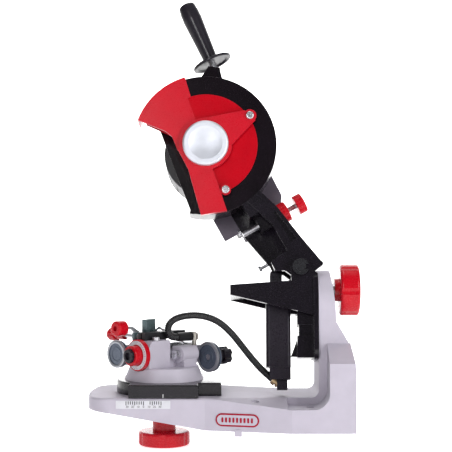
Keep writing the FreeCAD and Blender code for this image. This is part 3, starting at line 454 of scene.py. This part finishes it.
def ribbed_tube(name, points, travelled, steps=20):
    """A tube along the points whose ribs keep their count from the distance travelled."""
    made = bmesh.new()
    heading = (points[1] - points[0]).normalized()
    first = heading.orthogonal().normalized()
    rings = []
    for i, spot in enumerate(points):
        before = points[max(i - 1, 0)]
        after = points[min(i + 1, len(points) - 1)]
        turned_to = (after - before).normalized()
        first = (first - turned_to * first.dot(turned_to)).normalized()
        second = turned_to.cross(first)
        phase = 2 * math.pi * travelled[i] / RIB_PITCH
        radius = HOSE_R + RIB_HEIGHT * (0.5 - 0.5 * math.cos(phase)) ** 0.6 - RIB_HEIGHT / 2
        ring = []
        for k in range(steps):
            turn = 2 * math.pi * k / steps
            ring.append(made.verts.new(spot + (first * math.cos(turn) + second * math.sin(turn)) * radius))
        rings.append(ring)
    for here, there in zip(rings, rings[1:]):
        for k in range(steps):
            j = (k + 1) % steps
            made.faces.new((here[k], here[j], there[j], there[k]))
    made.faces.new(list(reversed(rings[0])))
    made.faces.new(rings[-1])
    return from_bmesh(name, made)


# the hose leaves the vise towards -X and turns back, so the split is looked for past its first third
hose_line = spline_points(HOSE_ROUTE)
travelled = [0.0]
for before, after in zip(hose_line, hose_line[1:]):
    travelled.append(travelled[-1] + (after - before).length)
split = next(i for i, spot in enumerate(hose_line) if i > len(hose_line) / 3 and spot.x > HOSE_SPLIT_X)


def hose(name, first, last, nodes):
    """A stretch of the ribbed hose between two points of its line, in place of the CAD hose nodes, which are
    hidden.
    """
    mesh = ribbed_tube(name, hose_line[first : last + 1], travelled[first : last + 1])
    made = bpy.data.objects.new(name, mesh)
    bpy.context.scene.collection.objects.link(made)
    mesh.materials.append(FINISH["hose_rubber"])
    for polygon in mesh.polygons:
        polygon.use_smooth = len(polygon.vertices) == 4
    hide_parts(*nodes)
    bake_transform(made)
    return made


vise_hose = hose("vise_hose", 0, split, ["hose_vise_end"])
pump_hose = hose("pump_hose", split, len(hose_line) - 1, ["hose_middle", "hose_pump_end"])

# ---- base details -------------------------------------------------------------------------

scale_low, scale_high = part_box("angle_scale")
SCALE_FACE = scale_low.y + 0.001  # the strip's face, behind its rivets
SCALE_MIDDLE = -0.1730
TICK_STEP = 0.00245
TICK_LONG, TICK_SHORT = 0.0044, 0.0036
WORN_TICKS = (1, 2)
NUMBER_STEP = 0.0061
NUMBER_HEIGHT = 0.0034
RIVETS = (-0.1993, -0.1474)
RIVET_Z = 0.0289
BED_MARK_X = -0.1512


def tick(x, top, height, width=0.00045):
    """The outline of a mark that hangs from a height."""
    return [(x - width, top - height), (x + width, top - height), (x + width, top), (x - width, top)]


ticks = bmesh.new()
for i in range(-8, 9):
    if i in WORN_TICKS:
        continue
    height = TICK_LONG if i % 4 == 0 else TICK_SHORT
    outline = tick(SCALE_MIDDLE + i * TICK_STEP, scale_high.z - 0.0006, height)
    mesh = slab("tick", outline, SCALE_FACE - 0.00012, SCALE_FACE + 0.0001)
    ticks.from_mesh(mesh)
    bpy.data.meshes.remove(mesh)
piece("scale_ticks", from_bmesh("scale_ticks", ticks), "base", PRINT)


def numeral(name, text, height, place, body, material):
    """A number as a thin mesh, centred on its place and read from -Y before the place turns it."""
    curve = bpy.data.curves.new(name, "FONT")
    curve.body = text
    curve.size = height
    curve.align_x = "CENTER"
    curve.extrude = 0.00008
    carrier = bpy.data.objects.new(name, curve)
    bpy.context.scene.collection.objects.link(carrier)
    mesh = bpy.data.meshes.new_from_object(carrier)
    bpy.data.objects.remove(carrier)
    bpy.data.curves.remove(curve)
    mesh.name = name
    mesh.materials.clear()
    return piece(name, mesh, body, material, place @ Matrix.Rotation(math.pi / 2, 4, "X"))


for i, text in enumerate(("30", "20", "10", "0", "10", "20", "30")):
    x = SCALE_MIDDLE + (i - 3) * NUMBER_STEP
    place = Matrix.Translation((x, SCALE_FACE - 0.00004, scale_low.z + 0.0012))
    numeral(f"scale_number_{i}", text, NUMBER_HEIGHT, place, "base", PRINT)

bed_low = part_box("vise_bed")[0]
outline = tick(BED_MARK_X, bed_low.z + 0.0042, 0.0040, 0.00028)
mesh = slab("bed_mark", outline, bed_low.y - 0.0001, bed_low.y + 0.0004)
piece("bed_mark", mesh, "vise", MARK)

for i, x in enumerate(RIVETS):
    profile = [(0.0019, -0.0002), (0.0019, 0.0001), (0.0025, 0.0001), (0.0025, -0.0002)]
    mesh = turned("rivet_ring", profile, (x, SCALE_FACE, RIVET_Z), (0, -1, 0), steps=32)
    piece(f"rivet_ring_{i}", mesh, "base", PRINT, smooth=True)

# a plain badge with a raised red border on the base's slanted side
SIDE_START = Vector((-0.104, -0.060))  # where the base's side begins to slant, and where it ends
SIDE_END = Vector((-0.008, -0.082))
BADGE_X, BADGE_Z = -0.0681, 0.0129
RIB_STEP = 0.0042


def pill(half_length, half_height, steps=16):
    """A rounded bar's outline."""
    straight = half_length - half_height
    points = []
    for side, start in ((1, -90), (-1, 90)):
        for i in range(steps + 1):
            turn = math.radians(start + 180 * i / steps)
            points.append((side * straight + half_height * math.cos(turn), half_height * math.sin(turn)))
    return points


slant = SIDE_END - SIDE_START
badge_y = SIDE_START.y + (BADGE_X - SIDE_START.x) * slant.y / slant.x
badge_place = (
    Matrix.Translation((BADGE_X, badge_y, BADGE_Z)) @ Matrix.Rotation(math.atan2(slant.y, slant.x), 4, "Z")
)
piece(
    "badge_border", slab("badge_border", pill(0.0249, 0.0073), -0.0008, 0.0006), "base",
    BADGE_RED, badge_place, bevel=0.0003,
)
piece(
    "badge_face", slab("badge_face", pill(0.0231, 0.0055), -0.0010, 0.0006), "base",
    FINISH["silver_casting"], badge_place, bevel=0.0002,
)
for i in range(-4, 5):
    rib = slab("badge_rib", [(z, x) for x, z in reversed(pill(0.0029, 0.0012, 8))], -0.0014, -0.0008)
    piece(
        f"badge_rib_{i + 4}", rib, "base", BADGE_RED,
        badge_place @ Matrix.Translation((i * RIB_STEP, 0, 0)), bevel=0.0002,
    )

# ---- vise details -------------------------------------------------------------------------

vise_out = (ON_VISE.to_3x3() @ Vector((0, -1, 0))).normalized()

# each guide disc has a knurled rim and a raised step on its face
RIM_KNURLS = 72
KNURL_DEPTH = 0.0003
STEP_BACK = 0.0005
for name, joint, face, radius in (
    ("front_guide_rim", "front_guide_turn", -0.0510, 0.0157),
    ("rear_guide_rim", "rear_guide_turn", 0.0375, 0.0175),
):
    local = ON_VISE.inverted() @ Vector(JOINTS[joint]["pos_m"])
    centre = ON_VISE @ Vector((local.x, face, local.z))
    profile = [
        (radius - 0.0032, 0.0001), (radius - 0.0014, 0.0004), (radius + 0.0002, 0.0001),
        (radius + 0.0004, -0.0006), (radius + 0.0004, -0.0020), (radius + 0.0002, -0.0024),
        (radius - 0.0006, -0.0024), (radius - 0.0006, -0.0004), (radius - 0.0032, -0.0004),
    ]
    mesh = turned(
        name, profile, centre, vise_out, steps=4 * RIM_KNURLS, ripple=RIM_KNURLS, ripple_depth=KNURL_DEPTH,
    )
    body = JOINTS[joint]["child"]
    piece(name, mesh, body, RIM)
    profile = [
        (0.0070, -0.0004), (0.0070, 0.0), (0.0074, 0.0003), (0.0082, 0.0003), (0.0086, 0.0),
        (0.0086, -0.0004),
    ]
    mesh = turned(name + "_step", profile, centre - vise_out * STEP_BACK, vise_out)
    piece(name + "_step", mesh, body, FINISH["guide_grey"], smooth=True)

DIAL_TICKS = 36
DIAL_FACE = Matrix.Translation((0.0012, -0.0442, 0.081))
TICK_OUTER, TICK_INNER_LONG, TICK_INNER_SHORT = 0.0163, 0.0138, 0.0149
for i in range(DIAL_TICKS):
    inner = TICK_INNER_LONG if i % 3 == 0 else TICK_INNER_SHORT
    outline = [(inner, -0.0002), (TICK_OUTER, -0.0002), (TICK_OUTER, 0.0002), (inner, 0.0002)]
    turn = Matrix.Rotation(2 * math.pi * i / DIAL_TICKS, 4, "Y")
    piece(
        f"dial_tick_{i}", slab("dial_tick", outline, -0.0001, 0.0001), "dial", PRINT,
        ON_VISE @ DIAL_FACE @ turn,
    )

# ---- head details -------------------------------------------------------------------------

# the lining of the guard, behind the open part of its rim
LINING_ANGLES = (112, 156)
LINING_RADII = (0.030, 0.0795)
LINING_FACES = (0.0100, 0.0108)
piece(
    "guard_lining", slab("guard_lining", band(*LINING_ANGLES, *LINING_RADII), *LINING_FACES), "head",
    FINISH["cover_red"], TILTED,
)

# threads of the depth stop's screw
THREAD_PITCH = 0.00125
THREAD_ROOT, THREAD_TOP, THREAD_INSIDE = 0.00300, 0.00335, 0.0026


def threads(name, low, high):
    """Rolled threads on the depth screw, from one place along it to another."""
    count = int((high - low) / THREAD_PITCH)
    outer = []
    for i in range(count):
        start = low + i * THREAD_PITCH
        outer += [(THREAD_ROOT, start), (THREAD_TOP, start + THREAD_PITCH * 0.5)]
    end = low + count * THREAD_PITCH
    outer.append((THREAD_ROOT, end))
    profile = outer + [(THREAD_INSIDE, end), (THREAD_INSIDE, low)]
    mesh = turned(name, profile, (SCREW.x, 0, SCREW.z), ACROSS, steps=40)
    piece(name, mesh, "depth", FINISH["steel"], TILTED)


threads("depth_thread_low", -0.0360, -0.0165)
threads("depth_thread_high", 0.0240, 0.0342)

# ---- light, floor and backdrop ------------------------------------------------------------

FLOOR_Z = cad_box[0][2] - 0.0005
FLOOR_REACH = 4.0
BEND_START, BEND_RADIUS, BEND_STEPS = 1.2, 0.8, 15
sweep = bmesh.new()
rows = []
profile = [(-FLOOR_REACH, 0.0), (BEND_START, 0.0)]
for i in range(1, BEND_STEPS + 1):
    turn = math.pi / 2 * i / BEND_STEPS
    profile.append((BEND_START + BEND_RADIUS * math.sin(turn), BEND_RADIUS - BEND_RADIUS * math.cos(turn)))
profile.append((BEND_START + BEND_RADIUS, FLOOR_REACH))
for y, z in profile:
    rows.append([sweep.verts.new((x, y, FLOOR_Z + z)) for x in (-FLOOR_REACH, FLOOR_REACH)])
for here, there in zip(rows, rows[1:]):
    sweep.faces.new((here[0], here[1], there[1], there[0]))
floor_mesh = from_bmesh("floor", sweep)
floor = bpy.data.objects.new("floor", floor_mesh)
bpy.context.scene.collection.objects.link(floor)
floor_paint = finish_of("floor_white", (0.90, 0.90, 0.90), 0.7, shade=0.01, grain_depth=0.0, gloss=0.2)
floor_glow = floor_paint.node_tree.nodes["Principled BSDF"].inputs
floor_glow["Emission Color"].default_value = (1.0, 0.99, 1.0, 1.0)
floor_glow["Emission Strength"].default_value = 0.70
floor_mesh.materials.append(floor_paint)
for polygon in floor_mesh.polygons:
    polygon.use_smooth = True


def softbox(name, place, target, size, power):
    lamp = bpy.data.lights.new(name, "AREA")
    lamp.shape = "RECTANGLE"
    lamp.size, lamp.size_y = size
    lamp.energy = power
    made = bpy.data.objects.new(name, lamp)
    bpy.context.scene.collection.objects.link(made)
    made.location = place
    made.rotation_euler = (Vector(target) - Vector(place)).to_track_quat("-Z", "Y").to_euler()


softbox("key", (1.15, -1.15, 0.75), (-0.08, 0, 0.2), (0.5, 0.9), 17)
softbox("fill", (-0.55, -1.5, 0.75), (-0.08, 0, 0.2), (0.35, 0.6), 8)
softbox("top", (-0.1, 0.1, 1.4), (-0.08, 0.1, 0.0), (0.9, 0.5), 5)
softbox("back", (0.0, 0.9, 1.1), (-0.08, 1.9, 0.4), (2.2, 1.0), 30)

world = bpy.data.worlds.new("world")
bpy.context.scene.world = world
world.use_nodes = True
sky = world.node_tree.nodes["Background"].inputs
sky["Color"].default_value = (1.0, 0.99, 1.0, 1.0)
sky["Strength"].default_value = 0.13
bpy.context.scene.view_settings.view_transform = "Standard"
